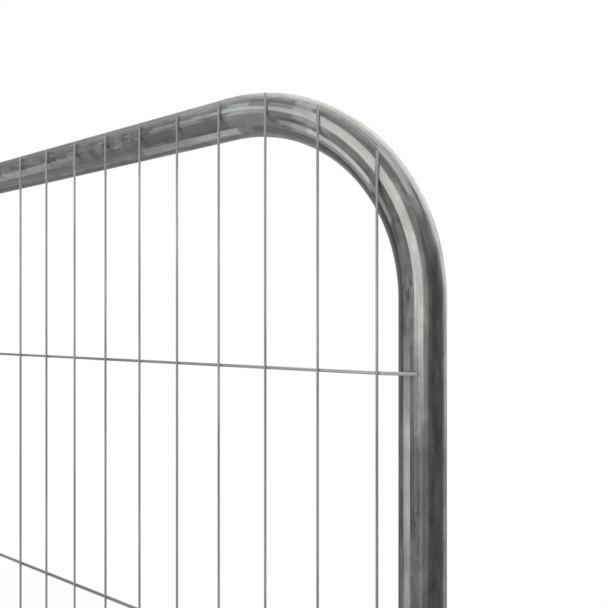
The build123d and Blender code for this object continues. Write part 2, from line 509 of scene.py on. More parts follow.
@dataclass(frozen=True)
class GalvanisedTubeFinish:
    """Dull zinc on steel tube: straight-edged tiles, lengthwise streaks, drawn lines and a fine grain, with
    placed bands of painted reflection, painted highlight and painted shade over them.

    Each pattern's size is given along the tube, outward and to the front, in metres. A swing is how far
    a pattern moves the lightness, or the roughness, from end to end. A range is where a pattern starts to
    count and where it counts in full. A start or an end is a stretch of the tube, in metres past the start
    of the right-hand bend.
    """

    tube_radius: float
    paint: JointPaint
    scuffs: LegScuffs = LegScuffs()
    name: str = "galvanised_tube"
    rail_lightness: float = 0.405
    bend_lightness: float = 0.440
    metallic: float = 0.55
    roughness: float = 0.46
    # Drawn lines and grain
    line: Triple = (0.300, 0.0014, 0.0014)
    line_swing: float = 0.10
    line_roughness: float = 0.10
    line_height: float = 0.6
    grain: Triple = (0.0030, 0.0020, 0.0020)
    grain_swing: float = 0.05
    grain_height: float = 0.4
    relief: Span = (0.0002, 0.25)  # depth in metres, and how much of it shows
    worn_roughness: float = 0.08
    # Tiles, by length in metres and width in radians
    short_tile: Span = (0.0105, 0.15)
    short_tile_swing: float = 0.13
    long_tile: Span = (0.034, 0.24)
    long_tile_swing: float = 0.09
    tile_ends_astray: float = 0.014
    tile_sides_astray: float = 0.06
    tiled: Triple = (0.060, 0.022, 0.022)  # the areas that short tiles show in
    tiled_range: Span = (0.38, 0.60)
    upright_start: Span = (0.26, 0.36)
    upright_tile_loss: float = 0.5
    # Smudges and wisps
    smudge: Triple = (0.011, 0.030, 0.030)
    smudge_swing: float = 0.22
    smudge_bend_loss: float = 0.06
    under_streaks: float = 0.65  # share of the tiles and smudges that the placed bands of painted light cover
    wisp: Triple = (0.020, 0.005, 0.005)
    wisp_start: Span = (-0.06, 0.30)
    wisp_swing: float = 0.20
    # Scattered streaks, calmer where the bands of painted light are placed one by one
    streak: Triple = (0.240, 0.007, 0.007)
    streak_softness: float = 0.08
    rail_streak_swing: float = 0.08
    bend_streak_swing: float = 0.24
    calm: float = 0.75
    calm_start: Span = (-0.30, 0.00)
    calm_end: Span = (0.80, 0.65)
    shine_swing: float = 0.16
    # Hues: blue in dark tiles of the rail, warm in some streaks, and green elsewhere
    hue: Triple = (0.050, 0.020, 0.020)
    tile_blue: float = 0.5
    bend_green: float = 0.30
    green_start: Span = (-0.055, -0.010)
    blue_range: Span = (0.50, 0.90)
    blue_lightness: Span = (0.66, 0.50)
    warm_range: Span = (0.65, 0.95)
    green_grey: Colour = (0.955, 1.0, 0.935, 1.0)
    blue_grey: Colour = (0.960, 1.0, 1.050, 1.0)
    warm_grey: Colour = (0.995, 1.0, 0.955, 1.0)

    def make(self) -> bpy.types.Material:
        """Build the material.

        Returns:
            The material.
        """
        material, bench = new_material(self.name)
        at = TubePlace.read(bench, self.tube_radius)
        line = bench.clouds(at.vector, self.line, detail=3.0)
        grain = bench.clouds(at.vector, self.grain)
        ends = at.along + line.swing(self.tile_ends_astray)
        turn = bench.maths("ARCTAN2", at.front, at.outward) + grain.swing(self.tile_sides_astray)
        short_tile = bench.tiles(ends, turn, self.short_tile)
        long_tile = bench.tiles(ends, turn, self.long_tile, shift=3.3)
        streak, streak_hue, shine = bench.blocks(at.vector, self.streak, self.streak_softness, shift=3.7)
        panel_place = bench.object_place()
        painted = self.paint.mask(bench, panel_place)
        scuffed, worn = self.scuffs.shade(bench, panel_place)
        lightness = self._zinc(bench, at, streak, self._mottle(bench, at, short_tile, long_tile))
        lightness = (lightness + scuffed).towards(self.paint.lightness, painted * self.paint.cover)
        lightness = lightness + line.swing(self.line_swing - painted * self.paint.line_loss)
        lightness = lightness + grain.swing(self.grain_swing + painted * self.paint.grain_gain)
        dark_tile = 1.0 - (short_tile + long_tile) / 2
        cool = bench.blend(self._bluish(bench, at, lightness, dark_tile), self.green_grey, self.blue_grey)
        tint = bench.blend(streak_hue.rise(*self.warm_range), cool, self.warm_grey)
        roughness = self.roughness + shine.swing(self.shine_swing) + line.swing(self.line_roughness)
        roughness = (roughness + worn * self.worn_roughness).towards(self.paint.roughness, painted)
        bench.principled({
            "Base Color": bench.toned(lightness, tint),
            "Metallic": self.metallic - painted * self.paint.metal_loss,
            "Roughness": roughness,
            "Normal": bench.bump(line * self.line_height + grain * self.grain_height, *self.relief),
        })
        return material

    def _mottle(self, bench: ShaderBench, at: TubePlace, short_tile: Signal, long_tile: Signal) -> Signal:
        """Join the tiles and smudges.

        Args:
            bench: Where nodes are added.
            at: The place on the tube.
            short_tile: The short tiles' tone.
            long_tile: The long tiles' tone.

        Returns:
            The change in lightness.
        """
        tiled = bench.clouds(at.vector, self.tiled, shift=1.9).rise(*self.tiled_range)
        tiled = tiled * (1.0 - at.along.rise(*self.upright_start) * self.upright_tile_loss)
        smudge = bench.clouds(at.vector, self.smudge, shift=8.1)
        tiles = short_tile.swing(tiled * self.short_tile_swing) + long_tile.swing(self.long_tile_swing)
        return tiles + smudge.swing(self.smudge_swing - at.bent * self.smudge_bend_loss)

    def _zinc(self, bench: ShaderBench, at: TubePlace, streak: Signal, mottle: Signal) -> Signal:
        """Lay the scattered streaks and the placed bands of painted reflection, highlight and shade over
        each other, with the mottling partly under them.

        Args:
            bench: Where nodes are added.
            at: The place on the tube.
            streak: The scattered streaks' tone.
            mottle: The tiles' and smudges' change in lightness.

        Returns:
            The zinc's lightness, with the painted light in it.
        """
        calm = at.along.rise(*self.calm_start) * at.along.rise(*self.calm_end) * self.calm
        lightness = self.rail_lightness + at.bent * (self.bend_lightness - self.rail_lightness)
        scattered = streak.swing(self.rail_streak_swing + at.bent * (1 - calm) * self.bend_streak_swing)
        lightness = lightness + scattered + mottle * self.under_streaks
        # the placed bands: painted reflections, painted highlights and painted shade, and the seam
        for one in TUBE_PAINTED_LIGHT_AND_SEAM:
            lightness = lightness.towards(one.lightness, one.mask(at))
        wisp = bench.clouds(at.vector, self.wisp, shift=2.7)
        wisps = wisp.swing(at.along.rise(*self.wisp_start) * self.wisp_swing)
        return lightness + mottle * (1.0 - self.under_streaks) + wisps

    def _bluish(self, bench: ShaderBench, at: TubePlace, lightness: Signal, dark_tile: Signal) -> Signal:
        """Find where the zinc is blue rather than green.

        Args:
            bench: Where nodes are added.
            at: The place on the tube.
            lightness: The zinc's lightness.
            dark_tile: How dark its tiles are, from 0 to 1.

        Returns:
            The share of blue.
        """
        hue = bench.clouds(at.vector, self.hue, shift=5.3)
        greener = bench.maths("MAXIMUM", at.bent, at.along.rise(*self.green_start))
        bluish = (hue + dark_tile * self.tile_blue - greener * self.bend_green).rise(*self.blue_range)
        return bluish * lightness.rise(*self.blue_lightness)


@dataclass(frozen=True)
class GalvanisedWireFinish:
    """Dull zinc on drawn wire: long soft tone changes, fine drawn lines and a light grain, darkened by the
    painted shade that each mesh carries.
    """

    name: str = "galvanised_wire"
    # the wires' lightness with no painted shade, and with full painted shade
    lit_lightness: float = 0.677
    shaded_lightness: float = 0.496
    metallic: float = 0.45
    roughness: float = 0.48
    patch: Triple = (0.070, 0.004, 0.004)
    patch_softness: float = 0.6
    patch_swing: float = 0.10
    shine_swing: float = 0.14
    line: Triple = (0.200, 0.0006, 0.0006)
    line_swing: float = 0.10
    grain: Triple = (0.0012, 0.0008, 0.0008)
    grain_swing: float = 0.06
    grain_roughness: float = 0.10
    relief: Span = (0.00006, 0.25)  # depth in metres, and how much of it shows
    pale: Colour = (0.985, 1.0, 0.98, 1.0)
    cool: Colour = (0.985, 0.992, 0.998, 1.0)

    def make(self) -> bpy.types.Material:
        """Build the material.

        Returns:
            The material.
        """
        material, bench = new_material(self.name)
        place = bench.attribute(PLACE, "Vector")
        # the painted shade that each wire mesh carries in its tone attribute
        painted_shade = Signal(bench, bench.attribute(TONE, "Fac"))
        patch, patch_hue, shine = bench.blocks(place, self.patch, self.patch_softness)
        line = bench.clouds(place, self.line)
        grain = bench.clouds(place, self.grain)
        lightness = self.lit_lightness + painted_shade * (self.shaded_lightness - self.lit_lightness) + patch.swing(self.patch_swing)
        lightness = lightness + line.swing(self.line_swing) + grain.swing(self.grain_swing)
        roughness = self.roughness + shine.swing(self.shine_swing) + grain.swing(self.grain_roughness)
        bench.principled({
            "Base Color": bench.toned(lightness, bench.blend(patch_hue, self.pale, self.cool)),
            "Metallic": self.metallic,
            "Roughness": roughness,
            "Normal": bench.bump((line + grain) / 2, *self.relief),
        })
        return material


@dataclass(frozen=True)
class ZincPaintedWeldFinish:
    """Weld metal under brushed zinc paint: matt, speckled, browned in patches."""

    name: str = "zinc_painted_weld"
    lightness: float = 0.58
    metallic: float = 0.25
    roughness: float = 0.62
    patch: Triple = (0.006, 0.006, 0.006)
    patch_swing: float = 0.22
    speck: Triple = (0.0007, 0.0007, 0.0007)
    speck_swing: float = 0.16
    speck_roughness: float = 0.2
    relief: Span = (0.0001, 0.4)  # depth in metres, and how much of it shows
    burnt_range: Span = (0.5, 0.7)
    paint: Colour = (0.985, 1.0, 0.99, 1.0)
    burnt: Colour = (1.03, 1.0, 0.95, 1.0)

    def make(self) -> bpy.types.Material:
        """Build the material.

        Returns:
            The material.
        """
        material, bench = new_material(self.name)
        place = bench.object_place()
        patch = bench.clouds(place, self.patch, detail=3.0)
        speck = bench.clouds(place, self.speck)
        lightness = self.lightness + patch.swing(self.patch_swing) + speck.swing(self.speck_swing)
        tint = bench.blend(patch.rise(*self.burnt_range), self.paint, self.burnt)
        bench.principled({
            "Base Color": bench.toned(lightness, tint),
            "Metallic": self.metallic,
            "Roughness": self.roughness + speck.swing(self.speck_roughness),
            "Normal": bench.bump(speck, *self.relief),
        })
        return material


@dataclass(frozen=True)
class StudioFloorFinish:
    """Pale floor that looks white to the camera and in reflections, and keeps the panel's shadow."""

    name: str = "studio_floor"
    albedo: Colour = (0.90, 0.90, 0.90, 1.0)
    glow: float = 0.45
    reach: Triple = (3.4, 1.8, 1.0)  # half-axes of the floor's part that keeps shadows, in metres
    fade: Span = (0.3, 1.0)  # where that part starts to turn white, and is white, as shares of the reach

    def make(self) -> bpy.types.Material:
        """Build the material.

        Returns:
            The material.
        """
        material, bench = new_material(self.name)
        reached = bench.scaled(bench.object_place(), self.reach)
        away = Signal(bench, bench.vector_maths("LENGTH", {0: reached}, "Value"))
        glow = self.glow + away.rise(*self.fade) * (1.0 - self.glow)
        matt = bench.node("ShaderNodeBsdfDiffuse", {}, {"Color": self.albedo})
        light = bench.node("ShaderNodeEmission", {}, {"Color": WHITE, "Strength": 1.0})
        parts = {0: seen_share(bench) * glow, 1: matt.outputs[0], 2: light.outputs[0]}
        mixed = bench.node("ShaderNodeMixShader", {}, parts)
        bench.node("ShaderNodeOutputMaterial", {}, {"Surface": mixed.outputs[0]})
        return material


def seen_share(bench: ShaderBench) -> Signal:
    """Return 1 for rays that show a surface to the camera, straight or mirrored, and 0 for lighting rays.

    Args:
        bench: Where nodes are added.

    Returns:
        The share.
    """
    path = bench.node("ShaderNodeLightPath", {}, {}).outputs
    rays = [Signal(bench, path[f"Is {kind} Ray"]) for kind in ("Camera", "Glossy", "Transmission")]
    return bench.maths("MAXIMUM", rays[0], bench.maths("MAXIMUM", rays[1], rays[2]))


@dataclass
class PanelPlan:
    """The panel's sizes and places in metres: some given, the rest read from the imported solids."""

    bend_radius: float = 0.185
    tube_wall: float = 0.0015
    leg_end_break: float = 0.0004
    crank_offset: float = 0.006
    crank_radius: float = 0.025
    wire_end_round: float = 0.0006
    weld_gap: float = 0.00005
    tube_radius: float = field(init=False)
    upright_x: float = field(init=False)
    top_rail_z: float = field(init=False)
    bottom_rail_z: float = field(init=False)
    wire_radius: float = field(init=False)
    row_wire_radius: float = field(init=False)
    wire_y: float = field(init=False)
    row_y: float = field(init=False)
    end_wire_x: float = field(init=False)
    row_heights: list[float] = field(init=False)
    wires: dict[str, list[float]] = field(init=False)

    def __post_init__(self) -> None:
        """Read the solids' boxes."""
        rail_low, rail_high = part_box("bottom_rail")
        _, hoop_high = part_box("frame_hoop")
        self.tube_radius = (rail_high.z - rail_low.z) / 2
        self.bottom_rail_z = (rail_high.z + rail_low.z) / 2
        self.upright_x = hoop_high.x - self.tube_radius
        self.top_rail_z = hoop_high.z - self.tube_radius
        wire_nodes = sorted(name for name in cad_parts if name.startswith("vertical_wire_"))
        low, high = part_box(wire_nodes[-1])
        self.wire_radius = (high.x - low.x) / 2
        self.wire_y = (high.y + low.y) / 2
        self.end_wire_x = (high.x + low.x) / 2
        row_nodes = sorted(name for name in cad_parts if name.startswith("horizontal_wire_"))
        low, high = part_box(row_nodes[0])
        self.row_wire_radius = round((high.z - low.z) / 2, 4)  # the solid's facets fall a little short
        self.row_y = self.wire_y + self.wire_radius + self.weld_gap + self.row_wire_radius
        self.row_heights = [sum(corner.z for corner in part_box(name)) / 2 for name in row_nodes]
        self.wires = {name: self._wires_in(name) for name in wire_nodes}

    def _wires_in(self, node: str) -> list[float]:
        """Find the vertical wires that share a node.

        Args:
            node: The node's name.

        Returns:
            Their X places.
        """
        low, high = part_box(node)
        first = low.x + self.wire_radius
        last = high.x - self.wire_radius
        return [first] if last - first < self.wire_radius else [first, last]

    @property
    def bore_radius(self) -> float:
        """Radius of the tubes' bore."""
        return self.tube_radius - self.tube_wall

    @property
    def bend_start_x(self) -> float:
        """Where the top rail's straight run ends."""
        return self.upright_x - self.bend_radius

    @property
    def bend_length(self) -> float:
        """Length of one bend's centre line."""
        return self.bend_radius * math.pi / 2

    @property
    def shoulder_z(self) -> float:
        """Height where the uprights end and the bends start."""
        return self.top_rail_z - self.bend_radius

    @property
    def wire_pitch(self) -> float:
        """Distance from one vertical wire to the next."""
        return 2 * self.end_wire_x / (sum(len(places) for places in self.wires.values()) - 1)

    def tube_slope(self, x: float) -> float:
        """Return the top tube's angle to the level above a place along the panel, in radians."""
        return math.asin(max(0.0, abs(x) - self.bend_start_x) / self.bend_radius)

    def tube_line_z(self, x: float) -> float:
        """Return the height of the top tube's centre line above a place along the panel."""
        return self.top_rail_z - self.bend_radius * (1.0 - math.cos(self.tube_slope(x)))


@dataclass
class Ring:
    """One ring of a swept bar.

    Axes are two unit vectors across the bar; outward crossed with front points along it.
    """

    centre: Vector
    outward: Vector
    front: Vector
    radius: float
    along: float
    tone: float = 0.0


def ring_quads(rings: int, sides: int, looped: bool) -> list[Face]:
    """Number the quads between rings of points.

    Args:
        rings: How many rings there are.
        sides: Points in each ring.
        looped: True where the last ring joins the first.

    Returns:
        Each quad's points, ring by ring.
    """
    made: list[Face] = []
    for ring in range(rings if looped else rings - 1):
        here = ring * sides
        there = (ring + 1) % rings * sides
        for side in range(sides):
            following = (side + 1) % sides
            made.append((here + side, here + following, there + following, there + side))
    return made


def ring_caps(rings: int, sides: int) -> tuple[Face, Face]:
    """Number the two faces that close a row of rings."""
    return tuple(reversed(range(sides))), tuple(range((rings - 1) * sides, rings * sides))


class RingMesh:
    """A surface through a row of rings."""

    # The flat layout for the baked finish is 1 wide and 1 high
    OUTSIDE_TOP = 0.95
    BORE_BOTTOM = 0.955
    END_MARGIN = 0.004  # left free at each end of a strip
    SIDE_MARGIN = 0.03  # left free on each side of a strip, as a share of its width
    CAP_RADIUS = 0.015
    CAP_HEIGHT = 0.975
    CAPS = ((0.02, -1), (0.06, 1))  # each cap's place and the way that it is numbered round

    def __init__(self, rings: Sequence[Ring], sides: int, looped: bool) -> None:
        """Lay out the points.

        Args:
            rings: The rings in order, with a tube's outside before its bore.
            sides: Points in each ring.
            looped: True where the last ring joins the first, False where both ends are capped.
        """
        self.rings = list(rings)
        self.sides = sides
        self.looped = looped
        turns = np.arange(sides) * 2 * math.pi / sides
        self.cos = np.cos(turns)
        self.sin = np.sin(turns)

    def points(self) -> np.ndarray:
        """Place the points.

        Returns:
            Each ring's points, ring by ring.
        """
        rows = []
        for ring in self.rings:
            across = np.outer(self.cos, np.array(ring.outward)) + np.outer(self.sin, np.array(ring.front))
            rows.append(np.array(ring.centre) + ring.radius * across)
        return np.concatenate(rows)

    def faces(self) -> list[Face]:
        """Number the faces.

        Returns:
            The quads between rings, and then the end caps of a bar that isn't looped.
        """
        count = len(self.rings)
        quads = ring_quads(count, self.sides, self.looped)
        return quads if self.looped else [*quads, *ring_caps(count, self.sides)]

    def places(self) -> np.ndarray:
        """Measure the points' places.

        Returns:
            Each point's place on the straightened bar.
        """
        rows = []
        for ring in self.rings:
            along = np.full(self.sides, ring.along)
            rows.append(np.stack([along, ring.radius * self.cos, ring.radius * self.sin], 1))
        return np.concatenate(rows)

    def tones(self) -> np.ndarray:
        """Return each point's share of streaks on a tube, of painted shade on a wire."""
        return np.repeat([ring.tone for ring in self.rings], self.sides)

    def strips(self, count: int) -> np.ndarray:
        """Lay the surface out flat in long strips, for the baked finish.

        Args:
            count: Strips for the outside. A bore gets one thin strip, and end caps a corner each.

        Returns:
            A place from 0 to 1 for each corner of each face, in the order of the faces.
        """
        gaps = len(self.rings) if self.looped else len(self.rings) - 1
        outside = gaps // 2 if self.looped else gaps
        corners = np.empty((gaps, self.sides, 4, 2))
        self._lay_strips(corners, range(outside), count, 0.0, self.OUTSIDE_TOP)
        if self.looped:
            self._lay_strips(corners, range(outside, gaps), 1, self.BORE_BOTTOM, 1.0)
            return corners.reshape(-1, 2)
        caps = []
        for middle, way in self.CAPS:
            sideways = middle + self.CAP_RADIUS * self.cos
            upward = self.CAP_HEIGHT + way * self.CAP_RADIUS * self.sin
            caps.append(np.stack([sideways, upward], 1)[::way])
        return np.concatenate([corners.reshape(-1, 2), *caps])

    def _lay_strips(self, corners: np.ndarray, gaps: range, count: int, low: float, high: float) -> None:
        """Fill in the strips of some of the gaps between rings.

        Args:
            corners: The layout, which this changes.
            gaps: The gaps, by the number of the ring before each.
            count: Strips that they share.
            low: Where the strips start, up the layout.
            high: Where they end.
        """
        pairs = [(self.rings[gap], self.rings[(gap + 1) % len(self.rings)]) for gap in gaps]
        lengths = np.array([(there.centre - here.centre).length + abs(there.radius - here.radius)
                            for here, there in pairs])
        ends = np.cumsum(lengths)
        strip = np.minimum((ends - lengths / 2) * count / ends[-1], count - 1).astype(int)
        first = np.array([(ends - lengths)[strip == number].min() for number in range(count)])
        longest = max(ends[strip == number].max() - first[number] for number in range(count))
        scale = (1.0 - 2 * self.END_MARGIN) / longest
        begin = self.END_MARGIN + scale * (ends - lengths - first[strip])
        finish = self.END_MARGIN + scale * (ends - first[strip])
        band = (high - low) / count
        base = low + band * (strip + self.SIDE_MARGIN)
        across = np.linspace(0.0, band * (1.0 - 2 * self.SIDE_MARGIN), self.sides + 1)
        for place, gap in enumerate(gaps):
            corners[gap, :, :2, 0] = begin[place]
            corners[gap, :, 2:, 0] = finish[place]
            corners[gap, :, 0, 1] = corners[gap, :, 3, 1] = base[place] + across[:-1]
            corners[gap, :, 1, 1] = corners[gap, :, 2, 1] = base[place] + across[1:]


def make_mesh(name: str, points: np.ndarray, faces: Iterable[Face], places: np.ndarray,
              tones: np.ndarray, layout: Optional[np.ndarray] = None) -> bpy.types.Mesh:
    """Build a smooth mesh with the attributes that the finishes read.

    Args:
        name: The mesh's name.
        points: Each point's place.
        faces: The points of each face.
        places: Each point's place on the straightened bar.
        tones: Each point's share of streaks on a tube, of painted shade on a wire.
        layout: Each face corner's place in the flat layout for the baked finish, where one is given.

    Returns:
        The mesh.
    """
    mesh = bpy.data.meshes.new(name)
    mesh.from_pydata([tuple(point) for point in points], [], list(faces))
    place = mesh.attributes.new(PLACE, "FLOAT_VECTOR", "POINT")
    place.data.foreach_set("vector", places.astype(np.float32).ravel())
    tone = mesh.attributes.new(TONE, "FLOAT", "POINT")
    tone.data.foreach_set("value", tones.astype(np.float32))
    if layout is not None:
        mesh.uv_layers.new(name=BAKE_MAP).data.foreach_set("uv", layout.astype(np.float32).ravel())
    mesh.shade_smooth()
    mesh.set_sharp_from_angle(angle=SHARP_ANGLE)
    return mesh


def numbered_from(start: int, faces: Iterable[Face]) -> list[Face]:
    """Return faces whose points are numbered from a new start."""
    return [tuple(start + index for index in face) for face in faces]


def joined_mesh(name: str, parts: Sequence[RingMesh], strips: int) -> bpy.types.Mesh:
    """Join several closed surfaces into one mesh.

    Args:
        name: The mesh's name.
        parts: The surfaces.
        strips: Strips that each is laid out in for the baked finish.

    Returns:
        The mesh.
    """
    faces: list[Face] = []
    layout = []
    start = 0
    for number, part in enumerate(parts):
        faces.extend(numbered_from(start, part.faces()))
        start += len(part.rings) * part.sides
        layout.append((part.strips(strips) + (0.0, number)) / (1.0, len(parts)))
    points = np.concatenate([part.points() for part in parts])
    places = np.concatenate([part.places() for part in parts])
    tones = np.concatenate([part.tones() for part in parts])
    return make_mesh(name, points, faces, places, tones, np.concatenate(layout))


def place_object(name: str, data: bpy.types.ID) -> bpy.types.Object:
    """Put a new object into the scene.

    Args:
        name: Its name.
        data: Its mesh, lamp or camera.

    Returns:
        The object.
    """
    made = bpy.data.objects.new(name, data)
    bpy.context.scene.collection.objects.link(made)
    return made


def set_piece(mesh: bpy.types.Mesh, material: bpy.types.Material, slot: Slot,
              replaced: Sequence[str] = ()) -> None:
    """Add a finished piece to the panel.

    Args:
        mesh: The piece's mesh, whose name it takes.
        material: Its finish.
        slot: The record's material slot.
        replaced: The solids that it stands for.
    """
    piece = place_object(mesh.name, mesh)
    mesh.materials.append(material)
    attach(piece, BODY)
    if replaced:
        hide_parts(*replaced)
    log.info("%s: %d faces, %s", piece.name, len(mesh.polygons), slot.value)


def steps(start: float, end: float, most: float) -> np.ndarray:
    """Return even steps between two numbers, none longer than a given size, with both ends."""
    return np.linspace(start, end, max(2, math.ceil(abs(end - start) / most) + 1))


def limited(share: float) -> float:
    """Return a share held between 0 and 1."""
    return min(1.0, max(0.0, share))


@dataclass
class TubeHoop:
    """The bent tube: two uprights with their legs, two round corners and the top rail."""

    plan: PanelPlan
    sides: int = 96
    straight_step: float = 0.080
    bend_step: float = 0.004
    streak_ramp: float = 0.10  # length over which the streaks set in where a bend starts
    strips: int = 8

    def _centre_line(self) -> list[Ring]:
        """Run along the tube.

        Returns:
            Rings from the left leg's end over the top to the right leg's end.
        """
        plan = self.plan
        shoulder = plan.shoulder_z
        rail_start = -2 * plan.bend_start_x - plan.bend_length
        rings = []
        for z in steps(0.0, shoulder, self.straight_step)[:-1]:
            rings.append(self._ring(Vector((-plan.upright_x, 0.0, z)), 90.0, rail_start - shoulder + z))
        rings.extend(self._bend(Side.LEFT, 90.0, rail_start))
        for x in steps(-plan.bend_start_x, plan.bend_start_x, self.straight_step)[:-1]:
            rings.append(self._ring(Vector((x, 0.0, plan.top_rail_z)), 0.0, x - plan.bend_start_x))
        rings.extend(self._bend(Side.RIGHT, 0.0, 0.0))
        for z in steps(shoulder, 0.0, self.straight_step):
            along = plan.bend_length + shoulder - z
            rings.append(self._ring(Vector((plan.upright_x, 0.0, z)), -90.0, along))
        return rings

    def _bend(self, side: Side, heading: float, start: float) -> list[Ring]:
        """Go round one bend, to the right.

        Args:
            side: Which corner.
            heading: The tube's direction at the bend's start, in degrees above +X.
            start: That place's distance past the start of the right-hand bend.

        Returns:
            The bend's rings but the last.
        """
        plan = self.plan
        pivot = Vector((side.value * plan.bend_start_x, 0.0, plan.shoulder_z))
        return [self._ring(pivot, heading - 90.0 * turn, start + turn * plan.bend_length, plan.bend_radius)
                for turn in steps(0.0, 1.0, self.bend_step / plan.bend_length)[:-1]]

    def _ring(self, pivot: Vector, heading: float, along: float, arm: float = 0.0) -> Ring:
        """Return one ring of the outside.

        Args:
            pivot: Its centre, or in a bend the centre of the bend.
            heading: The tube's direction in degrees above +X.
            along: Distance past the start of the right-hand bend.
            arm: Distance from the pivot to the ring's centre.

        Returns:
            The ring.
        """
        turn = math.radians(heading)
        outward = Vector((-math.sin(turn), 0.0, math.cos(turn)))
        past_bend_start = abs(along + self.plan.bend_start_x) - self.plan.bend_start_x
        tone = limited(0.5 + past_bend_start / self.streak_ramp)
        return Ring(pivot + outward * arm, outward, FRONT, self.plan.tube_radius, along, tone)

    def _broken_end(self, end: Ring) -> list[Ring]:
        """Return the two rings of a leg's chamfered end, from the cut face upwards."""
        small = self.plan.leg_end_break
        return [replace(end, radius=end.radius - small), replace(end, centre=end.centre + UP * small)]

    def build(self) -> bpy.types.Mesh:
        """Sweep the tube's outside, go round its cut ends and come back through its bore.

        Returns:
            The mesh.
        """
        outside = self._centre_line()
        inside = [replace(ring, radius=self.plan.bore_radius) for ring in reversed(outside)]
        left_end = self._broken_end(outside[0])
        right_end = reversed(self._broken_end(outside[-1]))
        surface = RingMesh([*left_end, *outside[1:-1], *right_end, *inside], self.sides, looped=True)
        return joined_mesh("bent_tube_hoop", [surface], self.strips)

    def dress(self, finish: bpy.types.Material) -> None:
        """Build the hoop and give it its finish."""
        set_piece(self.build(), finish, Slot.TUBE, ["frame_hoop"])


@dataclass
class BottomRail:
    """The straight tube between the uprights, notched at both ends to sit round them."""

    plan: PanelPlan
    sides: int = 96
    step: float = 0.080
    notch_room: float = 0.004  # the even rings end this far short of the uprights
    along_start: float = 20.0
    streaks: float = 0.15
    strips: int = 6

    def build(self) -> bpy.types.Mesh:
        """Sweep the tube and draw its ends out to the uprights.

        Returns:
            The mesh.
        """
        plan = self.plan
        reach = plan.upright_x - plan.tube_radius - self.notch_room
        tip = reach + plan.tube_radius / 2
        line = [-tip, *steps(-reach, reach, self.step), tip]
        rings = [self._ring(x, plan.tube_radius) for x in line]
        rings += [self._ring(x, plan.bore_radius) for x in reversed(line)]
        surface = RingMesh(rings, self.sides, looped=True)
        points = surface.points()
        places = surface.places()
        for ring in (0, len(line) - 1, len(line), len(rings) - 1):
            span = slice(ring * self.sides, (ring + 1) * self.sides)
            depth = np.sqrt((plan.tube_radius + plan.weld_gap) ** 2 - points[span, 1] ** 2)
            ends = np.sign(points[span, 0]) * (plan.upright_x - depth)
            places[span, 0] += ends - points[span, 0]
            points[span, 0] = ends
        layout = surface.strips(self.strips)
        return make_mesh("bottom_rail_tube", points, surface.faces(), places, surface.tones(), layout)

    def _ring(self, x: float, radius: float) -> Ring:
        """Return one ring of the rail."""
        centre = Vector((x, 0.0, self.plan.bottom_rail_z))
        return Ring(centre, UP, FRONT, radius, self.along_start + x, self.streaks)

    def dress(self, finish: bpy.types.Material) -> None:
        """Build the rail and give it its finish."""
        set_piece(self.build(), finish, Slot.TUBE, ["bottom_rail"])


def with_length(vector: np.ndarray, length: float) -> np.ndarray:
    """Return a vector of the same direction and a given length."""
    return vector * (length / np.linalg.norm(vector))


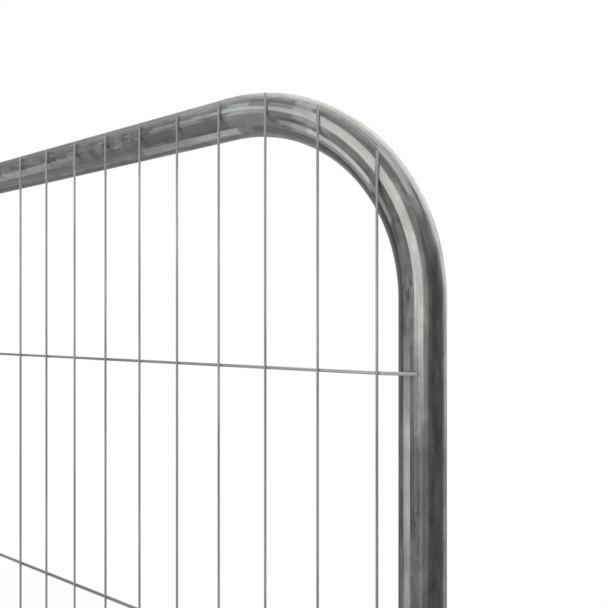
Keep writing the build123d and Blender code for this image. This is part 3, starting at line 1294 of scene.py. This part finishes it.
@dataclass
class RailWeld:
    """The weld run round one end of the bottom rail, with the ripples that it sets in."""

    plan: PanelPlan
    side: Side
    leg: float = 0.005
    thin_leg: float = 0.0026
    crown: float = 0.0011
    toe_sink: float = 0.0001  # the toes lie this far inside the tubes
    toe_rise: float = 0.0004
    root_depth: float = 0.0008
    ripple: float = 0.0022
    ripple_depth: float = 0.22
    ripple_mean: float = 0.4
    girth: float = 1.2  # length of the joint's line, in girths of the rail
    uneven: float = 0.03
    seed: int = 41
    corner_ease: float = 0.14
    flush_depth: float = 0.00005  # the bead is dressed back to the tubes' flanks
    points_round: int = 240
    points_across: int = 9

    def _section(self, turn: float, wobble: float) -> np.ndarray:
        """Return the bead's outline at one place round the rail.

        Args:
            turn: Angle round the rail from its top, in radians.
            wobble: Uneven share of the bead's size.

        Returns:
            Points from the toe on the rail over the bead to the toe on the upright, then the root.
        """
        radius = self.plan.tube_radius
        axis = np.array([self.plan.upright_x, 0.0])
        sine = math.sin(turn)
        cosine = math.cos(turn)
        lean = math.sqrt(cosine**2 + self.corner_ease**2)
        root = np.array([self.plan.upright_x - radius * lean, radius * sine, radius * cosine])
        size = (self.thin_leg + (self.leg - self.thin_leg) * abs(cosine)) * (1.0 + wobble)
        toe_rail = root - np.array([size, 0.0, 0.0])
        toe_rail[1:] = with_length(toe_rail[1:], radius - self.toe_sink)
        climb = math.copysign(size * abs(cosine) + self.toe_rise, cosine)
        toe_upright = root + np.array([size * (1.0 - abs(cosine)), 0.0, climb])
        toe_upright[:2] = axis + with_length(toe_upright[:2] - axis, radius - self.toe_sink)
        upright_out = with_length(np.array([*(root[:2] - axis), 0.0]), 1.0)
        lift = with_length(np.array([0.0, sine, cosine]) + upright_out, 1.0)
        # The curve rises half as far as its middle point
        middle = (toe_rail + toe_upright) / 2 + lift * self.crown * 2 * (1.0 + wobble)
        across = np.linspace(0.0, 1.0, self.points_across)[:, None]
        curve = (1 - across) ** 2 * toe_rail + 2 * across * (1 - across) * middle + across**2 * toe_upright
        return np.concatenate([curve, (root - lift * self.root_depth)[None]])

    def build(self) -> bpy.types.Mesh:
        """Run the bead round the joint.

        Returns:
            The mesh.
        """
        rng = random.Random(self.seed + self.side.value)
        ripples = round(2 * math.pi * self.plan.tube_radius * self.girth / self.ripple)
        sections = []
        for index in range(self.points_round):
            turn = 2 * math.pi * index / self.points_round
            phase = index * ripples / self.points_round % 1.0
            rippled = self.ripple_depth * (phase**2 - self.ripple_mean)
            sections.append(self._section(turn, rippled + rng.uniform(-self.uneven, self.uneven)))
        points = np.concatenate(sections)
        flush = self.plan.tube_radius - self.flush_depth
        points[:, 1] = np.clip(points[:, 1], -flush, flush)
        points[:, 2] += self.plan.bottom_rail_z
        points[:, 0] *= self.side.value
        faces = ring_quads(self.points_round, self.points_across + 1, looped=True)
        if self.side is Side.LEFT:
            faces = [face[::-1] for face in faces]
        name = f"rail_weld_bead_{self.side.name.lower()}"
        return make_mesh(name, points, faces, points, np.zeros(len(points)))

    def dress(self, finish: bpy.types.Material) -> None:
        """Build the bead and give it its finish."""
        set_piece(self.build(), finish, Slot.WELD, [f"bottom_rail_weld_{self.side.name.lower()}"])


def rounded_end(end: Ring, inward: float, rounding: float) -> list[Ring]:
    """Round the edge of a wire's cut end.

    Args:
        end: The wire's first or last ring.
        inward: 1 at the first ring and -1 at the last.
        rounding: Radius of the edge.

    Returns:
        Rings from the cut face inwards.
    """
    heading = end.outward.cross(end.front) * inward
    rings = []
    for turn in np.linspace(0.0, math.pi / 2, END_RINGS):
        depth = rounding * (1.0 - math.cos(turn))
        radius = end.radius - rounding * (1.0 - math.sin(turn))
        rings.append(replace(end, centre=end.centre + heading * depth, radius=radius,
                             along=end.along + inward * depth))
    return rings


def rounded_bar(path: Sequence[Ring], sides: int, rounding: float) -> RingMesh:
    """Close a swept wire with softly rounded cut ends.

    Args:
        path: The wire's rings, from end to end.
        sides: Points in each ring.
        rounding: Radius of the ends' edges.

    Returns:
        The closed surface.
    """
    first = rounded_end(path[0], 1.0, rounding)
    last = reversed(rounded_end(path[-1], -1.0, rounding))
    return RingMesh([*first, *path[1:-1], *last], sides, looped=False)


@dataclass
class VerticalWires:
    """The close vertical wires on the mesh side."""

    plan: PanelPlan
    sides: int = 16
    step: float = 0.060
    along_stride: float = 2.37
    strips: int = 8
    # painted shade on the wires above the top row, and below it
    top_painted_shade: float = 0.51
    painted_shade: float = 0.75
    shade_ramp: float = 0.12  # length across the top row over which the painted shade on the wires deepens
    uneven_cuts: Triple = (-0.0009, 0.0016, 0.0022)  # extra length at the bends, from the end wire inwards

    def build(self, node: str) -> bpy.types.Mesh:
        """Build the wires that one solid's node holds.

        Args:
            node: The node's name.

        Returns:
            The mesh.
        """
        plan = self.plan
        low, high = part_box(node)
        parts = []
        for x in plan.wires[node]:
            start = self.along_stride * round(x / plan.tube_radius)
            top = high.z + self._uneven_cut(x)
            path = [self._ring(x, z, start + z) for z in steps(low.z, top, self.step)]
            parts.append(rounded_bar(path, self.sides, plan.wire_end_round))
        return joined_mesh(node.replace("vertical_wire", "drawn_wire"), parts, self.strips)

    def _uneven_cut(self, x: float) -> float:
        """Return how much longer a wire is cut than its even length, where it ends on a bend."""
        number = round((self.plan.end_wire_x - abs(x)) / self.plan.wire_pitch)
        return self.uneven_cuts[number] if number < len(self.uneven_cuts) else 0.0

    def _ring(self, x: float, z: float, along: float) -> Ring:
        """Return one ring of a wire, with more painted shade below the top row than above it.

        Args:
            x: The wire's place along the panel.
            z: The ring's height.
            along: The ring's place on the straightened wire.

        Returns:
            The ring.
        """
        lowered = limited(0.5 + (self.plan.row_heights[0] - z) / self.shade_ramp)
        tone = self.top_painted_shade + (self.painted_shade - self.top_painted_shade) * lowered
        centre = Vector((x, self.plan.wire_y, z))
        return Ring(centre, Vector((-1.0, 0.0, 0.0)), FRONT, self.plan.wire_radius, along, tone)

    def dress(self, finish: bpy.types.Material) -> None:
        """Build every node's wires and give them their finish."""
        for node in self.plan.wires:
            set_piece(self.build(node), finish, Slot.WIRE, [node])


@dataclass
class RowWire:
    """One horizontal wire behind the vertical ones, cranked at its ends to rest on the uprights."""

    plan: PanelPlan
    row: int
    sides: int = 20
    step: float = 0.055
    along_stride: float = 5.0
    bend_points: int = 8
    strips: int = 16
    lit_end: float = 0.25  # length over which each end grows lighter towards the last vertical wire, as painted light
    seat_darkness: float = 0.45  # darker again beyond that wire, on the seat where the end is welded to the upright
    seat_fade: float = 0.012
    end_round: float = 0.0011
    end_lift: float = 0.0013  # each end is bent up a little on its seat

    def crank(self) -> tuple[float, float]:
        """Work out the crank that seats an end on its upright.

        Returns:
            Where the end starts to climb, and the angle that it climbs at, in radians.
        """
        plan = self.plan
        x = plan.end_wire_x + plan.crank_offset
        inset = plan.upright_x - x
        seat = plan.tube_radius + plan.weld_gap + plan.row_wire_radius
        climb = math.asin(seat / math.hypot(inset, plan.row_y)) - math.atan2(-plan.row_y, inset)
        return x, climb

    def height(self, x: float) -> float:
        """Find the wire's height, which rises a little from its cranks outwards.

        Args:
            x: The place along the panel.

        Returns:
            The height.
        """
        crank_x, _ = self.crank()
        lifted = max(0.0, abs(x) - crank_x) / (self.plan.upright_x - crank_x)
        return self.plan.row_heights[self.row] + self.end_lift * lifted

    def half_line(self) -> list[Triple]:
        """Run along the right half's centre line.

        Returns:
            X, Y and heading, from the middle to the end.
        """
        plan = self.plan
        crank_x, climb = self.crank()
        bend_x = crank_x - plan.crank_radius * math.tan(climb / 2)
        line = [(x, plan.row_y, 0.0) for x in steps(0.0, bend_x, self.step)]
        for turn in np.linspace(0.0, climb, self.bend_points)[1:]:
            y = plan.row_y - plan.crank_radius * (1.0 - math.cos(turn))
            line.append((bend_x + plan.crank_radius * math.sin(turn), y, turn))
        line.append((plan.upright_x, plan.row_y - (plan.upright_x - crank_x) * math.tan(climb), climb))
        return line

    def _darkness_at(self, x: float) -> float:
        """Find how dark the wire is made: as painted light, darkest in the middle and lightest at the last
        vertical wires; darker again beyond them on the seats.

        Args:
            x: The place along the panel.

        Returns:
            The darkness, from 0 to 1.
        """
        inside = self.plan.end_wire_x - abs(x)
        if inside < 0.0:
            return self.seat_darkness * limited(-inside / self.seat_fade)
        return limited(inside / self.lit_end)

    def build(self) -> bpy.types.Mesh:
        """Sweep the wire from end to end.

        Returns:
            The mesh.
        """
        right = self.half_line()
        left = [(-x, y, -heading) for x, y, heading in reversed(right[1:])]
        path = []
        for x, y, heading in [*left, *right]:
            across = Vector((-math.sin(heading), -math.cos(heading), 0.0))
            centre = Vector((x, y, self.height(x)))
            along = self.along_stride * self.row + x
            path.append(Ring(centre, UP, across, self.plan.row_wire_radius, along, self._darkness_at(x)))
        bar = rounded_bar(path, self.sides, self.end_round)
        return joined_mesh(f"row_wire_{self.row + 1}", [bar], self.strips)

    def dress(self, finish: bpy.types.Material) -> None:
        """Build the wire and give it its finish."""
        set_piece(self.build(), finish, Slot.WIRE, [f"horizontal_wire_{self.row + 1}"])


@dataclass(frozen=True)
class Contact:
    """Where a wire touches a tube or another wire."""

    place: Vector
    along: Vector  # the wire's direction
    away: Vector  # from the other piece towards the wire
    wire_radius: float
    other_radius: float  # of the other piece's curve, seen along the wire
    half_length: float
    half_width: float


@dataclass
class SpotWelds:
    """The small mounds of metal and zinc that join wires to each other and to the tubes."""

    plan: PanelPlan
    rings: int = 11
    columns: int = 9
    crowding: float = 1.45  # draws the rings towards a mound's ends, in radians
    tube_length: float = 0.0075
    tube_width: float = 0.0021
    end_length: float = 0.0025  # at a horizontal wire's end, on the upright
    end_width: float = 0.0024
    crossing_length: float = 0.0012
    crossing_width: float = 0.0015
    uneven: float = 0.10
    root: float = 0.0001  # how far a mound reaches into the other piece
    # the mounds' tone on the wire finish: dark, as painted shade beside the wires
    painted_shade: float = 1.45

    def _mound(self, contact: Contact, rng: random.Random) -> tuple[np.ndarray, list[Face]]:
        """Return the points and faces of one mound, which rises from the other piece to the wire.

        Args:
            contact: The contact.
            rng: Where its unevenness comes from.

        Returns:
            Points, and faces that number them from 0.
        """
        grow = 1.0 + rng.uniform(-self.uneven, self.uneven)
        sideways = np.array(contact.along.cross(contact.away))
        away = np.array(contact.away)
        across = np.linspace(-1.0, 1.0, self.columns)
        bump = (1.0 - across**2) ** 2
        top = self.plan.weld_gap + contact.wire_radius
        rows = []
        for share in np.sin(np.linspace(-1.0, 1.0, self.rings) * self.crowding):
            reach = share * contact.half_length * grow
            gap = contact.other_radius - math.sqrt(contact.other_radius**2 - reach**2)
            width = contact.half_width * grow * math.sqrt(1.0 - share**2)
            surface = np.array(contact.place + contact.along * reach - contact.away * gap)
            height = (top + gap) * (1.0 - share**2) * bump
            upper = surface + np.outer(width * across, sideways) + np.outer(height - self.root / 2, away)
            lower = surface + np.outer(width * across[-2:0:-1], sideways) - self.root * away
            rows.append(np.concatenate([upper, lower]))
        sides = len(rows[0])
        first, last = ring_caps(self.rings, sides)
        return np.concatenate(rows), [first, *ring_quads(self.rings, sides, looped=False), last]

    def build(self, name: str, contacts: Sequence[Contact]) -> bpy.types.Mesh:
        """Build one mound at each contact.

        Args:
            name: The mesh's name.
            contacts: The contacts.

        Returns:
            The mesh.
        """
        rng = random.Random(name)
        parts = []
        faces: list[Face] = []
        for contact in contacts:
            start = sum(len(part) for part in parts)
            part, numbered = self._mound(contact, rng)
            parts.append(part)
            faces.extend(numbered_from(start, numbered))
        points = np.concatenate(parts)
        return make_mesh(name, points, faces, points, np.full(len(points), self.painted_shade))

    def _on_row(self, x: float, z: float) -> Contact:
        """Return a vertical wire's contact with a horizontal one.

        Args:
            x: The vertical wire's place along the panel.
            z: The horizontal wire's height.

        Returns:
            The contact.
        """
        plan = self.plan
        place = Vector((x, plan.row_y - plan.row_wire_radius, z))
        return Contact(place, UP, FRONT, plan.wire_radius, plan.row_wire_radius,
                       self.crossing_length, self.crossing_width)

    def _on_tube(self, x: float, z: float, slope: float) -> Contact:
        """Return a vertical wire's contact with a tube.

        Args:
            x: The wire's place along the panel.
            z: The tube's centre line there.
            slope: The tube's angle to the level, in radians.

        Returns:
            The contact.
        """
        plan = self.plan
        place = Vector((x, -plan.tube_radius, z))
        return Contact(place, UP, FRONT, plan.wire_radius, plan.tube_radius / math.cos(slope) ** 2,
                       self.tube_length, self.tube_width)

    def _on_upright(self, side: Side, row: int) -> Contact:
        """Return a horizontal wire's contact with an upright.

        Args:
            side: Which upright.
            row: The wire's row.

        Returns:
            The contact.
        """
        plan = self.plan
        wire = RowWire(plan, row)
        _, climb = wire.crank()
        away = Vector((-side.value * math.sin(climb), -math.cos(climb), 0.0))
        along = Vector((side.value * math.cos(climb), -math.sin(climb), 0.0))
        seat = Vector((side.value * plan.upright_x, 0.0, 0.0)) + away * plan.tube_radius
        return Contact(seat + UP * wire.height(seat.x), along, away, plan.row_wire_radius,
                       plan.tube_radius, self.end_length, self.end_width)

    def dress(self, finish: bpy.types.Material) -> None:
        """Build the mounds of each row, and those on the tubes.

        Args:
            finish: The mounds' finish.
        """
        plan = self.plan
        wires = [x for places in plan.wires.values() for x in places]
        groups = {f"spot_welds_row_{row + 1}": [self._on_row(x, z) for x in wires]
                  for row, z in enumerate(plan.row_heights)}
        groups["spot_welds_top_tube"] = [self._on_tube(x, plan.tube_line_z(x), plan.tube_slope(x))
                                         for x in wires]
        groups["spot_welds_bottom_rail"] = [self._on_tube(x, plan.bottom_rail_z, 0.0) for x in wires]
        for side in Side:
            groups[f"spot_welds_{side.name.lower()}_upright"] = [self._on_upright(side, row)
                                                                 for row in range(len(plan.row_heights))]
        for name, contacts in groups.items():
            set_piece(self.build(name, contacts), finish, Slot.WIRE)


@dataclass(frozen=True)
class Softbox:
    """One large soft lamp."""

    name: str
    place: Triple
    target: Triple
    size: Span  # width and height, in metres
    power: float  # in watts

    def hang(self) -> None:
        """Hang the lamp and point it at its target."""
        data = bpy.data.lights.new(self.name, "AREA")
        data.shape = "RECTANGLE"
        data.size, data.size_y = self.size
        data.energy = self.power
        lamp = place_object(self.name, data)
        lamp.location = self.place
        lamp.rotation_euler = (Vector(self.target) - Vector(self.place)).to_track_quat("-Z", "Y").to_euler()


@dataclass
class Studio:
    """The camera, the soft lights, the white surroundings and the floor."""

    plan: PanelPlan
    focal_pixels: float = 411.8
    frame_pixels: float = 608.0
    principal_x: float = 304.15  # what the lens points at, in pixels from the frame's left and top
    principal_y: float = 324.24
    sensor_width: float = 36.0  # in millimetres
    nearest: float = 0.01
    yaw: float = 25.067  # degrees to the left
    from_corner: Triple = (0.05485, -0.34406, -0.20539)  # from where rail and upright would meet
    floor_half: float = 60.0
    floor_drop: float = 0.0003  # keeps the floor clear of the legs' cut ends
    fill: float = 0.70  # the surroundings' light, where white is 1
    softboxes: tuple[Softbox, ...] = (
        Softbox("overhead_softbox", (0.6, 0.4, 4.6), (0.6, 0.0, 1.0), (4.5, 3.0), 55.0),
        Softbox("rear_right_softbox", (4.2, 2.4, 3.4), (0.8, 0.0, 1.2), (2.5, 2.5), 40.0),
        Softbox("front_softbox", (0.4, -4.4, 2.6), (0.0, 0.0, 1.0), (4.0, 2.5), 36.0),
    )

    def camera(self) -> None:
        """Set the camera beside the right-hand corner, level, turned along the panel."""
        data = bpy.data.cameras.new("corner_camera")
        data.sensor_width = self.sensor_width
        data.lens = self.focal_pixels * self.sensor_width / self.frame_pixels
        data.shift_x = (self.frame_pixels / 2 - self.principal_x) / self.frame_pixels
        data.shift_y = (self.principal_y - self.frame_pixels / 2) / self.frame_pixels
        data.clip_start = self.nearest
        camera = place_object("corner_camera", data)
        corner = Vector((self.plan.upright_x, 0.0, self.plan.top_rail_z))
        camera.location = corner + Vector(self.from_corner)
        camera.rotation_euler = (math.pi / 2, 0.0, math.radians(self.yaw))
        bpy.context.scene.camera = camera

    def surroundings(self) -> None:
        """Surround the panel with even soft light that looks white to the camera and in reflections."""
        world = bpy.data.worlds.new("white_studio")
        world.use_nodes = True
        bench = ShaderBench(world.node_tree)
        colour = bench.blend(seen_share(bench), (self.fill, self.fill, self.fill, 1.0), WHITE)
        shell = bench.node("ShaderNodeBackground", {}, {"Color": colour, "Strength": 1.0})
        bench.node("ShaderNodeOutputWorld", {}, {"Surface": shell.outputs[0]})
        bpy.context.scene.world = world

    def floor(self) -> None:
        """Lay the floor that the legs stand on."""
        half = self.floor_half
        corners = [(-half, -half), (half, -half), (half, half), (-half, half)]
        mesh = bpy.data.meshes.new("studio_floor")
        mesh.from_pydata([(x, y, -self.floor_drop) for x, y in corners], [], [(0, 1, 2, 3)])
        mesh.materials.append(StudioFloorFinish().make())
        piece = place_object("studio_floor", mesh)

    def set_up(self) -> None:
        """Set everything up around the panel."""
        bpy.context.scene.view_settings.view_transform = "Standard"
        self.camera()
        self.surroundings()
        self.floor()
        for softbox in self.softboxes:
            softbox.hang()


def main() -> None:
    """Build the panel's pieces in order, then the studio round them."""
    logging.basicConfig(level=logging.INFO, format="%(name)s %(message)s")
    plan = PanelPlan()
    joint = (plan.upright_x - plan.tube_radius / 2, 0.0, plan.bottom_rail_z)
    tube = GalvanisedTubeFinish(plan.tube_radius, JointPaint(joint)).make()
    wire = GalvanisedWireFinish().make()
    weld = ZincPaintedWeldFinish().make()
    TubeHoop(plan).dress(tube)
    BottomRail(plan).dress(tube)
    for side in Side:
        RailWeld(plan, side).dress(weld)
    VerticalWires(plan).dress(wire)
    for row in range(len(plan.row_heights)):
        RowWire(plan, row).dress(wire)
    SpotWelds(plan).dress(wire)
    Studio(plan).set_up()


if __name__ == "__main__":
    main()
